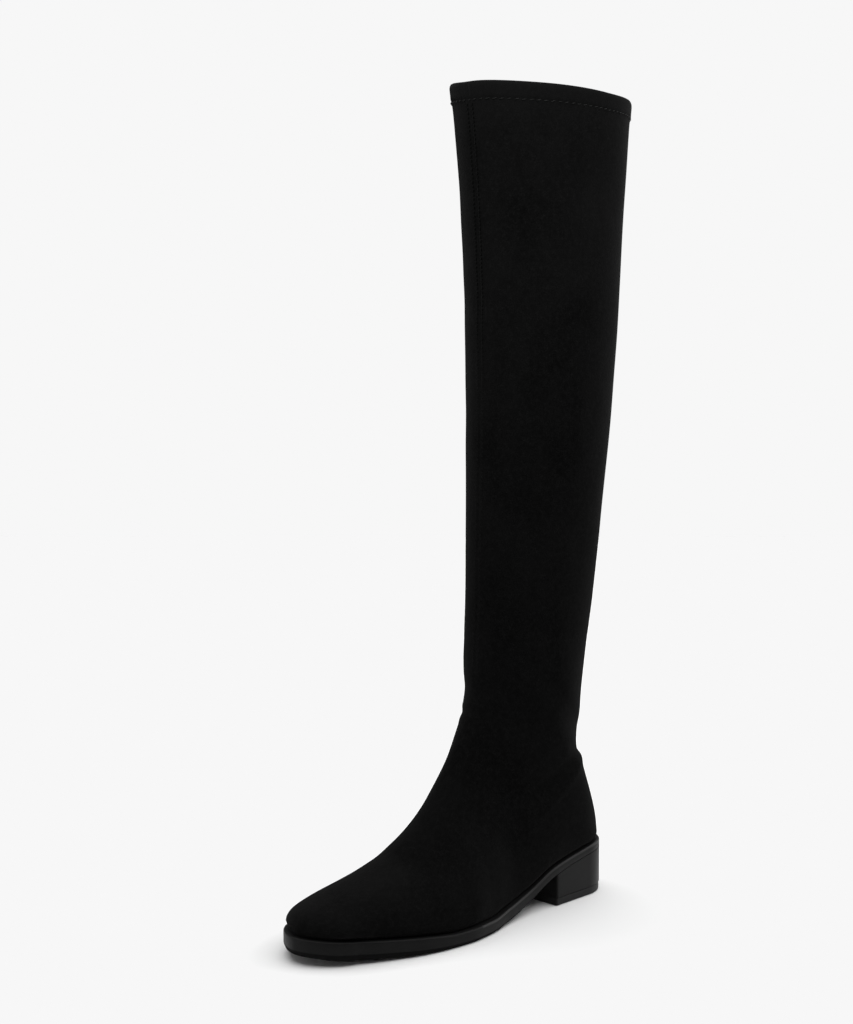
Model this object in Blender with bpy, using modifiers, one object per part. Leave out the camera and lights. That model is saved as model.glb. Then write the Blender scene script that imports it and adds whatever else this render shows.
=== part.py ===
"""A thigh-high stretch boot for the left foot, standing empty on its sole.

The pull-on upper is one hollow wall, open at the collar and underneath. An outsole with toe spring and a
raised waist closes it, an insole lies inside, and a low block heel with a thin top lift carries the seat.
Lengths run from the heel's back to the toe, heights from the floor, and the lateral side is +Y.
"""
from collections import namedtuple
from math import acos, pi, sin

import bmesh
import bpy
import numpy as np

MM = 0.001

# Driving dimensions in millimetres
SOLE_LENGTH = 265.5
HEEL_ROUND = 30.0        # length over which the heel's back is rounded
TOE_START = 238.0        # where the sole begins to close to the toe
TOE_ROUNDNESS = 1.6      # 1 is a straight point, 2 an ellipse
LEDGE = 2.5              # how far the sole stands out beyond the upper
WALL = 2.0               # stretch suede with its backing and lining
SEAT_GAP = 0.3           # clearance between pieces that are glued in the real boot
HEEL_LENGTH = 63.5       # from the heel's back to its breast
LIFT_THICKNESS = 5.0
LIFT_INSET = 0.4
INSOLE_THICKNESS = 2.5
INSOLE_PLAY = 1.6        # between the insole and the wall
INSOLE_INSET = LEDGE + WALL + INSOLE_PLAY
EDGE_BEVEL = 0.7
SHARP_EDGE = pi / 4      # edges that turn by more than this are bevelled
COUNTER_STEP = 1.2       # how far the stiff heel counter pushes the wall out
COUNTER_FADE = 9.0       # height over which that step comes in

# Mesh steps: millimetres between rows of the upper and below which points merge, then numbers of points
ROW_STEP = 12.5
MERGE = 0.01
SIDE_POINTS = 17
CURVE_POINTS = 90
END_STEPS = 12
MIDDLE_STEPS = 24
ACROSS_STEPS = 4

# Colours in linear light, and roughness
Finish = namedtuple("Finish", "colour roughness")
SUEDE = Finish((0.012, 0.012, 0.013), 0.95)
LINING = Finish((0.030, 0.029, 0.028), 0.90)
SOLE_RUBBER = Finish((0.022, 0.022, 0.023), 0.42)
HEEL_PLASTIC = Finish((0.020, 0.020, 0.021), 0.38)
LIFT_RUBBER = Finish((0.016, 0.016, 0.016), 0.60)

# Half widths of the outsole on both sides of the foot's middle line
Outline = namedtuple("Outline", "length lateral medial")
SOLE_OUTLINE = [
    Outline(30, 29.2, 28.5),
    Outline(64, 31.3, 28.0),
    Outline(90, 33.0, 25.5),
    Outline(115, 37.2, 25.0),
    Outline(140, 43.9, 29.5),
    Outline(160, 46.9, 35.0),
    Outline(177, 46.5, 39.0),
    Outline(195, 44.1, 39.5),
    Outline(214, 38.4, 38.0),
    Outline(226, 34.0, 35.6),
    Outline(238, 28.5, 32.0),
]

# Side profile of the outsole: its seat under the upper, and its underside with a flat spot under the ball
Profile = namedtuple("Profile", "length seat underside")
SOLE_PROFILE = [
    Profile(0, 35.5, 30.5),
    Profile(14, 35.0, 30.0),
    Profile(43, 31.0, 25.8),
    Profile(65, 26.5, 20.5),
    Profile(92, 16.0, 7.9),
    Profile(115, 10.6, 1.9),
    Profile(134, 8.4, 0.0),
    Profile(168, 8.4, 0.0),
    Profile(192, 10.4, 0.5),
    Profile(222, 12.8, 1.7),
    Profile(246, 14.8, 3.2),
    Profile(265.5, 16.4, 6.0),
]

# Sections of the foot. Each runs from the sole's edge at base to the ridge of the foot, is widest at that
# share of the way up, and swells beyond the sole's inner line by the amount given for each side.
Foot = namedtuple("Foot", "base ridge ridge_height ridge_shift widest lateral_swell medial_swell roundness")
FOOT_SECTIONS = [
    Foot(238, 263.0, 16.5, 0, 0.00, 0.0, 0.0, 1.60),
    Foot(237, 262.6, 21.0, 0, 0.10, 0.7, 0.7, 1.65),
    Foot(235, 258.8, 26.5, 0, 0.15, 0.9, 0.9, 1.75),
    Foot(231, 249.5, 30.5, -1, 0.18, 1.0, 1.0, 1.90),
    Foot(222, 229.0, 35.0, -2, 0.20, 1.0, 1.0, 2.0),
    Foot(205, 207.0, 39.5, -3, 0.20, 1.2, 1.2, 1.95),
    Foot(180, 181.0, 47.0, -5, 0.20, 1.5, 1.5, 1.9),
    Foot(155, 158.0, 62.5, -6, 0.20, 1.5, 1.5, 1.85),
    Foot(128, 140.0, 83.0, -6, 0.20, 1.5, 3.0, 1.85),
    Foot(95, 126.0, 105.0, -4, 0.25, 2.2, 5.0, 1.9),
    Foot(55, 116.0, 125.0, -2, 0.33, 5.0, 6.0, 2.0),
    Foot(30, 112.5, 136.0, -1, 0.39, 6.6, 6.8, 2.0),
    Foot(14, 111.0, 142.0, -1, 0.43, 7.0, 7.0, 2.0),
    Foot(5, 110.0, 146.0, -1, 0.46, 7.2, 7.2, 2.0),
    Foot(2.5, 109.5, 150.0, -1, 0.48, 7.3, 7.3, 2.0),
]

# Sections of the leg, closed at the back. The counter stands out at the bottom, the wall pinches in above it,
# and the planes of the sections turn level on the way up.
Leg = namedtuple("Leg", "back back_height front front_height widest half_width back_roundness")
LEG_SHIFT = -1.0
LEG_ROUNDNESS = 2.0
LEG_SECTIONS = [
    Leg(2.0, 47, 109.3, 153, 0.49, 33.8, 1.84),
    Leg(8.6, 58, 109.2, 156, 0.50, 33.6, 1.78),
    Leg(13.2, 70, 109.1, 160, 0.51, 33.3, 1.83),
    Leg(17.0, 80, 109.0, 163, 0.52, 33.0, 1.82),
    Leg(18.4, 88, 108.9, 167, 0.53, 32.8, 1.77),
    Leg(20.6, 96, 108.8, 171, 0.54, 32.7, 1.75),
    Leg(19.4, 105, 108.5, 178, 0.54, 32.7, 1.75),
    Leg(17.4, 116, 108.2, 184, 0.53, 33.2, 1.78),
    Leg(16.9, 127, 108.0, 189, 0.53, 33.5, 1.80),
    Leg(13.5, 158, 107.6, 204, 0.52, 34.0, 1.85),
    Leg(7.0, 203, 107.2, 226, 0.50, 35.5, 1.90),
    Leg(1.2, 255, 106.2, 262, 0.50, 37.5, 2.00),
    Leg(-5.2, 308, 105.2, 308, 0.50, 40.0, 2.00),
    Leg(-9.7, 358, 104.8, 358, 0.50, 42.3, 2.00),
    Leg(-12.8, 410, 105.5, 411, 0.50, 44.5, 2.00),
    Leg(-15.5, 460, 108.3, 463, 0.50, 46.5, 2.00),
    Leg(-18.6, 509, 113.0, 513, 0.50, 49.0, 2.00),
    Leg(-21.0, 533, 117.0, 538, 0.50, 50.5, 2.00),
]

# Upper edge of the stiff heel counter, seen from the side
Counter = namedtuple("Counter", "length height")
COUNTER_EDGE = [
    Counter(-5, 96),
    Counter(25, 97),
    Counter(45, 95),
    Counter(55, 86),
    Counter(67, 77),
    Counter(82, 67),
    Counter(97, 59),
    Counter(110, 42),
    Counter(125, 8),
]


def curve(knots, values, at):
    """Smooth curve through the knots that never overshoots between two of them."""
    knots, values, at = (np.asarray(v, dtype=float) for v in (knots, values, at))
    step = np.diff(knots)
    slope = np.diff(values) / step
    rising = slope[:-1] * slope[1:] > 0
    left = np.where(rising, slope[:-1], 1.0)
    right = np.where(rising, slope[1:], 1.0)
    tangent = np.zeros_like(values)
    tangent[0], tangent[-1] = slope[0], slope[-1]
    tangent[1:-1] = np.where(rising, 2 * left * right / (left + right), 0.0)
    i = np.clip(np.searchsorted(knots, at, side="right") - 1, 0, len(step) - 1)
    t = (at - knots[i]) / step[i]
    ease = t * t * (3 - 2 * t)
    bow = step[i] * t * (1 - t) * (tangent[i] * (1 - t) - tangent[i + 1] * t)
    return values[i] + (values[i + 1] - values[i]) * ease + bow


def outline(length, inset=0.0):
    """Lateral and medial half widths of the sole's edge, or of a line set in from it."""
    knots, lateral, medial = zip(*SOLE_OUTLINE)
    length = np.asarray(length, dtype=float)
    body = np.clip(length, HEEL_ROUND, TOE_START)
    into_heel = np.clip((HEEL_ROUND - length) / (HEEL_ROUND - inset), 0, 1)
    into_toe = np.clip((length - TOE_START) / (SOLE_LENGTH - inset - TOE_START), 0, 1)
    heel_round = np.sqrt(1 - into_heel ** 2)
    toe_round = (1 - into_toe ** TOE_ROUNDNESS) ** (1 / TOE_ROUNDNESS)
    closing = heel_round * toe_round
    return (curve(knots, lateral, body) - inset) * closing, (curve(knots, medial, body) - inset) * closing


def seat(length):
    """Height of the outsole's upper face."""
    return curve([p.length for p in SOLE_PROFILE], [p.seat for p in SOLE_PROFILE], length)


def underside(length):
    """Height of the outsole's lower face."""
    return curve([p.length for p in SOLE_PROFILE], [p.underside for p in SOLE_PROFILE], length)


def section_table():
    """Foot and leg sections as one array, from the toe to the collar."""
    rows = []
    for f in FOOT_SECTIONS:
        lateral, medial = outline(max(f.base, HEEL_ROUND), LEDGE)
        rows.append((f.base, float(seat(f.base)) + SEAT_GAP, f.ridge, f.ridge_height, f.ridge_shift, f.widest,
                     float(lateral) + f.lateral_swell, float(medial) + f.medial_swell,
                     LEG_ROUNDNESS, f.roundness))
    for g in LEG_SECTIONS:
        rows.append((g.back, g.back_height, g.front, g.front_height, LEG_SHIFT, g.widest,
                     g.half_width, g.half_width, g.back_roundness, LEG_ROUNDNESS))
    return np.array(rows)


def side_curve(base_width, widest, half_width, lower, upper):
    """One side of a section: share of the way from base to ridge, and distance from the middle plane."""
    start = acos(min(base_width / half_width, 1.0) ** (lower / 2))
    angle = np.linspace(-start, pi / 2, CURVE_POINTS)
    across, along = np.abs(np.cos(angle)), np.abs(np.sin(angle))
    below = angle < 0
    depth = along / sin(start) if start > 0 else along
    low_share = widest * (1 - depth ** (2 / lower))
    high_share = widest + (1 - widest) * along ** (2 / upper)
    share = np.where(below, low_share, high_share)
    width = half_width * np.where(below, across ** (2 / lower), across ** (2 / upper))
    return share, width


def evenly(points, count):
    """The same polyline with its points spaced evenly."""
    run = np.concatenate([[0], np.cumsum(np.linalg.norm(np.diff(points, axis=0), axis=1))])
    at = np.linspace(0, run[-1], count)
    return np.stack([np.interp(at, run, points[:, k]) for k in range(3)], axis=1)


def counter_push(points):
    """How far the counter pushes each point out, from nothing above its edge to a full step below."""
    edge = curve([c.length for c in COUNTER_EDGE], [c.height for c in COUNTER_EDGE],
                 np.clip(points[:, 0], COUNTER_EDGE[0].length, COUNTER_EDGE[-1].length))
    depth = np.clip((edge - points[:, 2]) / COUNTER_FADE + 0.5, 0, 1)
    return COUNTER_STEP * depth * depth * (3 - 2 * depth)


def upper_rows():
    """Rows of points of the upper's outer face, each from lateral base over the ridge to medial base."""
    table = section_table()
    on_sole = len(FOOT_SECTIONS) - 1
    base_width = np.zeros(len(table))
    base_width[:on_sole] = outline(table[:on_sole, 0], LEDGE)[0]
    base_path = np.column_stack([table[:, :2], base_width])
    travel = (np.linalg.norm(np.diff(base_path, axis=0), axis=1)
              + np.linalg.norm(np.diff(table[:, 2:4], axis=0), axis=1)) / 2
    run = np.concatenate([[0], np.cumsum(travel)])
    heel_run = run[on_sole]
    stops = [np.linspace(a, b, max(1, round((b - a) / ROW_STEP)), endpoint=False)
             for a, b in zip(run, run[1:])]
    rows = []
    for stop in np.concatenate([*stops, run[-1:]]):
        base, base_height, ridge, ridge_height, shift, widest, lateral, medial, lower, upper = (
            float(curve(run, column, stop)) for column in table.T)
        base_widths = (0.0, 0.0)
        if stop < heel_run:
            base_height = float(seat(base)) + SEAT_GAP
            base_widths = outline(base, LEDGE)
        sides = []
        for sign, half_width, base_width in ((1, lateral, base_widths[0]), (-1, medial, base_widths[1])):
            share, width = side_curve(float(base_width), widest, half_width, lower, upper)
            side = np.column_stack([base + (ridge - base) * share,
                                    sign * width + shift * share,
                                    base_height + (ridge_height - base_height) * share])
            sides.append(evenly(side, SIDE_POINTS + 1))
        rows.append(np.vstack([sides[0], sides[1][::-1][1:]]))
    return rows


def new_object(name, mesh, finish):
    """Object with a material of its own, in the boot's collection."""
    part = bpy.data.objects.new(name, mesh)
    boot.objects.link(part)
    material = bpy.data.materials.new(name)
    material.use_nodes = True
    shader = material.node_tree.nodes["Principled BSDF"]
    shader.inputs["Base Color"].default_value = (*finish.colour, 1.0)
    shader.inputs["Roughness"].default_value = finish.roughness
    shader.inputs["Metallic"].default_value = 0.0
    mesh.materials.append(material)
    mesh.shade_smooth()
    return part


def grid_over(bm, rows):
    """Grid of faces laid over rows of points, with points that fall together merged."""
    across = len(rows[0])
    made = bmesh.ops.create_grid(bm, x_segments=across - 1, y_segments=len(rows) - 1, size=1)
    for vertex, point in zip(made["verts"], (p for row in rows for p in row)):
        vertex.co = [c * MM for c in point]
    bmesh.ops.remove_doubles(bm, verts=made["verts"], dist=MERGE * MM)


def plate(name, end, low, high, inset, finish):
    """Solid over the sole's outline from the heel's back to its end, with a low and a high face all along."""
    ease = 1 - np.cos(np.linspace(0, pi / 2, END_STEPS))
    heel_end = inset + (HEEL_ROUND - inset) * ease
    if end == SOLE_LENGTH:
        toe = SOLE_LENGTH - inset
        rest = [np.linspace(HEEL_ROUND, TOE_START, MIDDLE_STEPS), toe - (toe - TOE_START) * ease[::-1]]
    else:
        rest = [np.linspace(HEEL_ROUND, end, MIDDLE_STEPS)]
    profile_stops = [p.length for p in SOLE_PROFILE if HEEL_ROUND < p.length < min(end, TOE_START)]
    lengths = np.sort(np.concatenate([heel_end, *rest, profile_stops]))
    lengths = lengths[np.append(True, np.diff(lengths) > MERGE)]
    share = np.linspace(-1, 1, ACROSS_STEPS + 1)
    bm = bmesh.new()
    for height in (low, high):
        rows = []
        for length in lengths:
            lateral, medial = outline(length, inset)
            rows.append([(length, float(s * (lateral if s > 0 else medial)), float(height(length)))
                         for s in share])
        grid_over(bm, rows)
    bmesh.ops.bridge_loops(bm, edges=[e for e in bm.edges if e.is_boundary])
    bmesh.ops.recalc_face_normals(bm, faces=bm.faces)
    mesh = bpy.data.meshes.new(name)
    bm.to_mesh(mesh)
    bm.free()
    part = new_object(name, mesh, finish)
    bevel = part.modifiers.new("Edges", "BEVEL")
    bevel.width = EDGE_BEVEL * MM
    bevel.segments = 1
    bevel.limit_method = "ANGLE"
    bevel.angle_limit = SHARP_EDGE
    return part


for old in list(bpy.data.objects):
    bpy.data.objects.remove(old)
boot = bpy.data.collections.new("stretch_boot")
bpy.context.scene.collection.children.link(boot)

# Upper: one wall from the sole's edge to the collar
shell = bmesh.new()
grid_over(shell, upper_rows())
bmesh.ops.recalc_face_normals(shell, faces=shell.faces)
for vertex in shell.verts:
    push = float(counter_push(np.array([vertex.co]) / MM)[0])
    vertex.co.xy += vertex.normal.xy * push * MM
upper_mesh = bpy.data.meshes.new("upper")
shell.to_mesh(upper_mesh)
shell.free()
upper = new_object("upper", upper_mesh, SUEDE)
wall = upper.modifiers.new("Wall", "SOLIDIFY")
wall.thickness = WALL * MM
wall.offset = -1.0
wall.use_even_offset = True
wall.use_quality_normals = True

# Insole inside the upper
plate("insole", SOLE_LENGTH, lambda u: seat(u) + SEAT_GAP, lambda u: seat(u) + SEAT_GAP + INSOLE_THICKNESS,
      INSOLE_INSET, LINING)

# Outsole, the heel under it and the heel's walking face
plate("outsole", SOLE_LENGTH, underside, seat, 0.0, SOLE_RUBBER)
plate("heel_block", HEEL_LENGTH, lambda u: LIFT_THICKNESS + SEAT_GAP, lambda u: underside(u) - SEAT_GAP,
      0.0, HEEL_PLASTIC)
plate("top_lift", HEEL_LENGTH, lambda u: 0.0, lambda u: LIFT_THICKNESS, LIFT_INSET, LIFT_RUBBER)

# The boot stands with the middle of its outer box over the origin
corners = np.array([part.matrix_world @ v.co for part in boot.objects for v in part.data.vertices])
middle = (corners.max(axis=0) + corners.min(axis=0)) / 2
for part in boot.objects:
    part.location.x = -middle[0]
    part.location.y = -middle[1]
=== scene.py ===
from collections import namedtuple
from math import acos, cos, pi, radians, sin, sqrt

import bmesh
import bpy
import numpy as np
from mathutils import Matrix, Vector, noise


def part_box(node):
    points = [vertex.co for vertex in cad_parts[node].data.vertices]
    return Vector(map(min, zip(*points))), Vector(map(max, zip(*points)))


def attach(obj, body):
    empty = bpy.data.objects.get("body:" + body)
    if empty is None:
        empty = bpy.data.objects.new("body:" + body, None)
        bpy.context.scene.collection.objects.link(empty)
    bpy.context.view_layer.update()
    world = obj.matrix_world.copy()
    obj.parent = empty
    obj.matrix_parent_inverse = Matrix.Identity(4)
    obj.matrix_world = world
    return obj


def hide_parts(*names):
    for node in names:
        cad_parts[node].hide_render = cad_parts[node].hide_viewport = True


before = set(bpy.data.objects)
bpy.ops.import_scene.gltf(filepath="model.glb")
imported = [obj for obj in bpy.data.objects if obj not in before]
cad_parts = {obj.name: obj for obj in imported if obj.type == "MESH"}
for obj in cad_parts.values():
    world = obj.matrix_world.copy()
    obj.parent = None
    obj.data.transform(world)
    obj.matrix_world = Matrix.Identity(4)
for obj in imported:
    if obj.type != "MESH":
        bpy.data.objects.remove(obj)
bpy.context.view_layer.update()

# Insole
# The board that the upper is pulled over and glued to, with a thin woven sock stuck on top. Its outline is
# the sole's, set in by the sole's ledge and the upper's wall. Lengths run from the heel's back to the toe,
# sides from the middle line towards the outer side, heights from the floor, in millimetres.
MM = 0.001
sole_low, sole_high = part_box("outsole")
SOLE_LENGTH = (sole_high.x - sole_low.x) / MM
HEEL_ROUND = 30.0
TOE_START = 238.0
TOE_ROUNDNESS = 1.6
LEDGE = 2.5
WALL = 2.0
SEAT_GAP = 0.3
INSOLE_THICKNESS = 2.5
INSOLE_PLAY = 1.6
INSOLE_INSET = LEDGE + WALL + INSOLE_PLAY
INSOLE_EDGE = 0.9
LENGTH_STEP = 3.0
END_STEPS = 26
ACROSS_STEPS = 12
EDGE_STEPS = 4
SHARP_EDGE = pi / 4
MERGE = 0.01
SOCK_THREAD = 1.1
SOCK_RELIEF = 0.15
SOCK_DARK = "#1b1a1a"
SOCK_LIGHT = "#2c2b2a"

Outline = namedtuple("Outline", "length lateral medial")
SOLE_OUTLINE = [
    Outline(30, 29.2, 28.5),
    Outline(64, 31.3, 28.0),
    Outline(90, 33.0, 25.5),
    Outline(115, 37.2, 25.0),
    Outline(140, 43.9, 29.5),
    Outline(160, 46.9, 35.0),
    Outline(177, 46.5, 39.0),
    Outline(195, 44.1, 39.5),
    Outline(214, 38.4, 38.0),
    Outline(226, 34.0, 35.6),
    Outline(238, 28.5, 32.0),
]
Profile = namedtuple("Profile", "length seat underside")
SOLE_PROFILE = [
    Profile(0, 35.5, 30.5),
    Profile(14, 35.0, 30.0),
    Profile(43, 31.0, 25.8),
    Profile(65, 26.5, 20.5),
    Profile(92, 16.0, 7.9),
    Profile(115, 10.6, 1.9),
    Profile(134, 8.4, 0.0),
    Profile(168, 8.4, 0.0),
    Profile(192, 10.4, 0.5),
    Profile(222, 12.8, 1.7),
    Profile(246, 14.8, 3.2),
    Profile(265.5, 16.4, 6.0),
]
HEEL_BACK = sole_low.x / MM
MIDDLE_LINE = sole_high.y / MM - max(o.lateral for o in SOLE_OUTLINE)


def curve(knots, values, at):
    """Smooth curve through the knots that never overshoots between two of them."""
    knots, values, at = (np.asarray(v, dtype=float) for v in (knots, values, at))
    span = np.diff(knots)
    slope = np.diff(values) / span
    rising = slope[:-1] * slope[1:] > 0
    left = np.where(rising, slope[:-1], 1.0)
    right = np.where(rising, slope[1:], 1.0)
    tangent = np.zeros_like(values)
    tangent[0], tangent[-1] = slope[0], slope[-1]
    tangent[1:-1] = np.where(rising, 2 * left * right / (left + right), 0.0)
    i = np.clip(np.searchsorted(knots, at, side="right") - 1, 0, len(span) - 1)
    t = (at - knots[i]) / span[i]
    ease = t * t * (3 - 2 * t)
    bow = span[i] * t * (1 - t) * (tangent[i] * (1 - t) - tangent[i + 1] * t)
    return values[i] + (values[i + 1] - values[i]) * ease + bow


def outline(length, inset=0.0):
    """Lateral and medial half widths of the sole's edge, or of a line set in from it."""
    knots, lateral, medial = zip(*SOLE_OUTLINE)
    length = np.asarray(length, dtype=float)
    body = np.clip(length, HEEL_ROUND, TOE_START)
    into_heel = np.clip((HEEL_ROUND - length) / (HEEL_ROUND - inset), 0, 1)
    into_toe = np.clip((length - TOE_START) / (SOLE_LENGTH - inset - TOE_START), 0, 1)
    heel_round = np.sqrt(1 - into_heel ** 2)
    toe_round = (1 - into_toe ** TOE_ROUNDNESS) ** (1 / TOE_ROUNDNESS)
    closing = heel_round * toe_round
    return (curve(knots, lateral, body) - inset) * closing, (curve(knots, medial, body) - inset) * closing


def seat(length):
    """Height of the outsole's upper face, which carries insole and upper."""
    return curve([p.length for p in SOLE_PROFILE], [p.seat for p in SOLE_PROFILE], length)


def in_frame(point):
    """Length, side and height in millimetres as a place in the frame."""
    return (point[0] + HEEL_BACK) * MM, (point[1] + MIDDLE_LINE) * MM, point[2] * MM


def grid_over(bm, rows):
    """Grid laid over rows of points, row by row."""
    made = bmesh.ops.create_grid(bm, x_segments=len(rows[0]) - 1, y_segments=len(rows) - 1, size=1)
    for vertex, point in zip(made["verts"], (p for row in rows for p in row)):
        vertex.co = in_frame(point)
    return made["verts"]


def sole_face(end, inset, height, corner=0.0):
    """Rows of points across the sole's outline, from the heel's back to its end, with a height per length.

    A piece that ends before the toe is cut straight across, with its two corners rounded.
    """
    ease = 1 - np.cos(np.linspace(0, pi / 2, END_STEPS))
    last = SOLE_LENGTH - inset if end > TOE_START else end
    body_end = min(TOE_START, last - corner)
    middle = np.linspace(HEEL_ROUND, body_end, round((body_end - HEEL_ROUND) / LENGTH_STEP))
    flat_spot = [p.length for p in SOLE_PROFILE if HEEL_ROUND < p.length < body_end]
    stops = [inset + (HEEL_ROUND - inset) * ease, middle, flat_spot, last - (last - body_end) * ease[::-1]]
    lengths = np.sort(np.concatenate(stops))
    lengths = lengths[np.append(True, np.diff(lengths) > MERGE)]
    rows = []
    for length in lengths:
        lateral, medial = outline(length, inset)
        into_corner = min(max(length - last + corner, 0.0), corner)
        cut = corner - sqrt(corner ** 2 - into_corner ** 2)
        rows.append([(length, s * ((lateral if s > 0 else medial) - cut), float(height(length)))
                     for s in np.linspace(-1, 1, ACROSS_STEPS + 1)])
    return np.array(rows)


def rounded_rim(end, inset, height, radius, corner=0.0, rise=-1):
    """Faces whose rims take the edge of a plate round a quarter turn, from its face to its side."""
    faces = []
    for turn in np.linspace(0, pi / 2, EDGE_STEPS + 1):
        shift = rise * radius * (1 - cos(turn))
        faces.append(sole_face(end, inset + radius * (1 - sin(turn)), lambda u: height(u) + shift, corner))
    return faces


def rim_line(rows):
    """Closed line round the edge of a face."""
    return np.vstack([rows[:, -1], rows[-1, -2:0:-1], rows[::-1, 0], rows[0, 1:]])


def sole_plate(faces):
    """Closed plate with its top and underside, and a wall through the rims of the faces in between."""
    bm = bmesh.new()
    grid_over(bm, faces[0])
    grid_over(bm, faces[-1])
    grid_over(bm, [rim_line(rows) for rows in faces])
    bmesh.ops.remove_doubles(bm, verts=bm.verts, dist=MERGE * MM)
    bmesh.ops.recalc_face_normals(bm, faces=bm.faces)
    return bm


def linear(hex_colour):
    """An sRGB hex colour in linear light, opaque."""
    channels = [int(hex_colour[i:i + 2], 16) / 255 for i in (1, 3, 5)]
    return [c / 12.92 if c <= 0.04045 else ((c + 0.055) / 1.055) ** 2.4 for c in channels] + [1.0]


def start_material(name):
    """A new material with its tree of nodes and its shader."""
    material = bpy.data.materials.new(name)
    material.use_nodes = True
    return material, material.node_tree, material.node_tree.nodes["Principled BSDF"]


def add_node(tree, kind, inputs, **options):
    """Adds a node, sets its options, and gives each named input a value or a link."""
    made = tree.nodes.new(kind)
    for name, value in options.items():
        setattr(made, name, value)
    feed(tree, made, inputs)
    return made.outputs


def feed(tree, receiver, inputs):
    """Gives each named input of a node a value or a link."""
    for name, value in inputs.items():
        if isinstance(value, bpy.types.NodeSocket):
            tree.links.new(value, receiver.inputs[name])
        else:
            receiver.inputs[name].default_value = value


def finish_piece(name, bm, materials, replaced=None):
    """Turns a bmesh into a smooth piece that rides on the boot."""
    mesh = bpy.data.meshes.new(name)
    bm.to_mesh(mesh)
    bm.free()
    for material in materials:
        mesh.materials.append(material)
    mesh.shade_smooth()
    mesh.set_sharp_from_angle(angle=SHARP_EDGE)
    made = bpy.data.objects.new(name, mesh)
    bpy.context.scene.collection.objects.link(made)
    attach(made, "root")
    if replaced:
        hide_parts(replaced)
    return made


def per_mm(size):
    """Noise scale for spots of a size in millimetres."""
    return 1 / (size * MM)


def waves_per_mm(spacing):
    """Scale of a wave texture whose crests lie a spacing in millimetres apart."""
    return pi / 10 / (spacing * MM)


# Sock cloth: a plain black weave, dull, with its threads just lighter than the gaps. The real threads are
# finer and are drawn this coarse to show at all.
sock_cloth, tree, shader = start_material("Woven_sock_cloth")
place = add_node(tree, "ShaderNodeTexCoord", {})["Object"]
warp = add_node(tree, "ShaderNodeTexWave", {"Vector": place, "Scale": waves_per_mm(SOCK_THREAD)},
                bands_direction="X")["Fac"]
weft = add_node(tree, "ShaderNodeTexWave", {"Vector": place, "Scale": waves_per_mm(SOCK_THREAD)},
                bands_direction="Y")["Fac"]
weave = add_node(tree, "ShaderNodeMath", {0: warp, 1: weft}, operation="MULTIPLY")["Value"]
threads = add_node(tree, "ShaderNodeMixRGB", {"Fac": weave, "Color1": linear(SOCK_DARK),
                                              "Color2": linear(SOCK_LIGHT)})["Color"]
weave_bump = add_node(tree, "ShaderNodeBump", {"Height": weave, "Distance": SOCK_RELIEF * MM,
                                               "Strength": 0.6})["Normal"]
feed(tree, shader, {"Base Color": threads, "Normal": weave_bump, "Roughness": 0.9,
                    "Specular IOR Level": 0.2})

board = sole_plate([*rounded_rim(SOLE_LENGTH, INSOLE_INSET, lambda u: seat(u) + SEAT_GAP + INSOLE_THICKNESS,
                                 INSOLE_EDGE),
                    sole_face(SOLE_LENGTH, INSOLE_INSET, lambda u: seat(u) + SEAT_GAP)])
finish_piece("insole_sock", board, [sock_cloth], "insole")

# Upper
# One pull-on tube of stretch microsuede on a knit lining, sewn down front and back, its collar turned in as a
# hem. It is pulled over the last, glued under the insole, and stiffened at the heel by a counter inside its
# wall. The tables give the last's own sections, from the toe to the collar.
ROW_STEP = 2.0
COLLAR_ROW_STEP = 0.8
COLLAR_ZONE = 18.0
SIDE_POINTS = 92
CURVE_POINTS = 260
CROWDING = 0.6
LEG_SHIFT = -1.0
LEG_ROUNDNESS = 2.0

Foot = namedtuple("Foot", "base ridge ridge_height ridge_shift widest lateral_swell medial_swell roundness")
FOOT_SECTIONS = [
    Foot(238, 263.0, 16.5, 0, 0.00, 0.0, 0.0, 1.60),
    Foot(237, 262.6, 21.0, 0, 0.10, 0.7, 0.7, 1.65),
    Foot(235, 258.8, 26.5, 0, 0.15, 0.9, 0.9, 1.75),
    Foot(231, 249.5, 30.5, -1, 0.18, 1.0, 1.0, 1.90),
    Foot(222, 229.0, 35.0, -2, 0.20, 1.0, 1.0, 2.0),
    Foot(205, 207.0, 39.5, -3, 0.20, 1.2, 1.2, 1.95),
    Foot(180, 181.0, 47.0, -5, 0.20, 1.5, 1.5, 1.9),
    Foot(155, 158.0, 62.5, -6, 0.20, 1.5, 1.5, 1.85),
    Foot(128, 140.0, 83.0, -6, 0.20, 1.5, 3.0, 1.85),
    Foot(95, 126.0, 105.0, -4, 0.25, 2.2, 5.0, 1.9),
    Foot(55, 116.0, 125.0, -2, 0.33, 5.0, 6.0, 2.0),
    Foot(30, 112.5, 136.0, -1, 0.39, 6.6, 6.8, 2.0),
    Foot(14, 111.0, 142.0, -1, 0.43, 7.0, 7.0, 2.0),
    Foot(5, 110.0, 146.0, -1, 0.46, 7.2, 7.2, 2.0),
    Foot(2.5, 109.5, 150.0, -1, 0.48, 7.3, 7.3, 2.0),
]
Leg = namedtuple("Leg", "back back_height front front_height widest half_width back_roundness")
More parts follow.
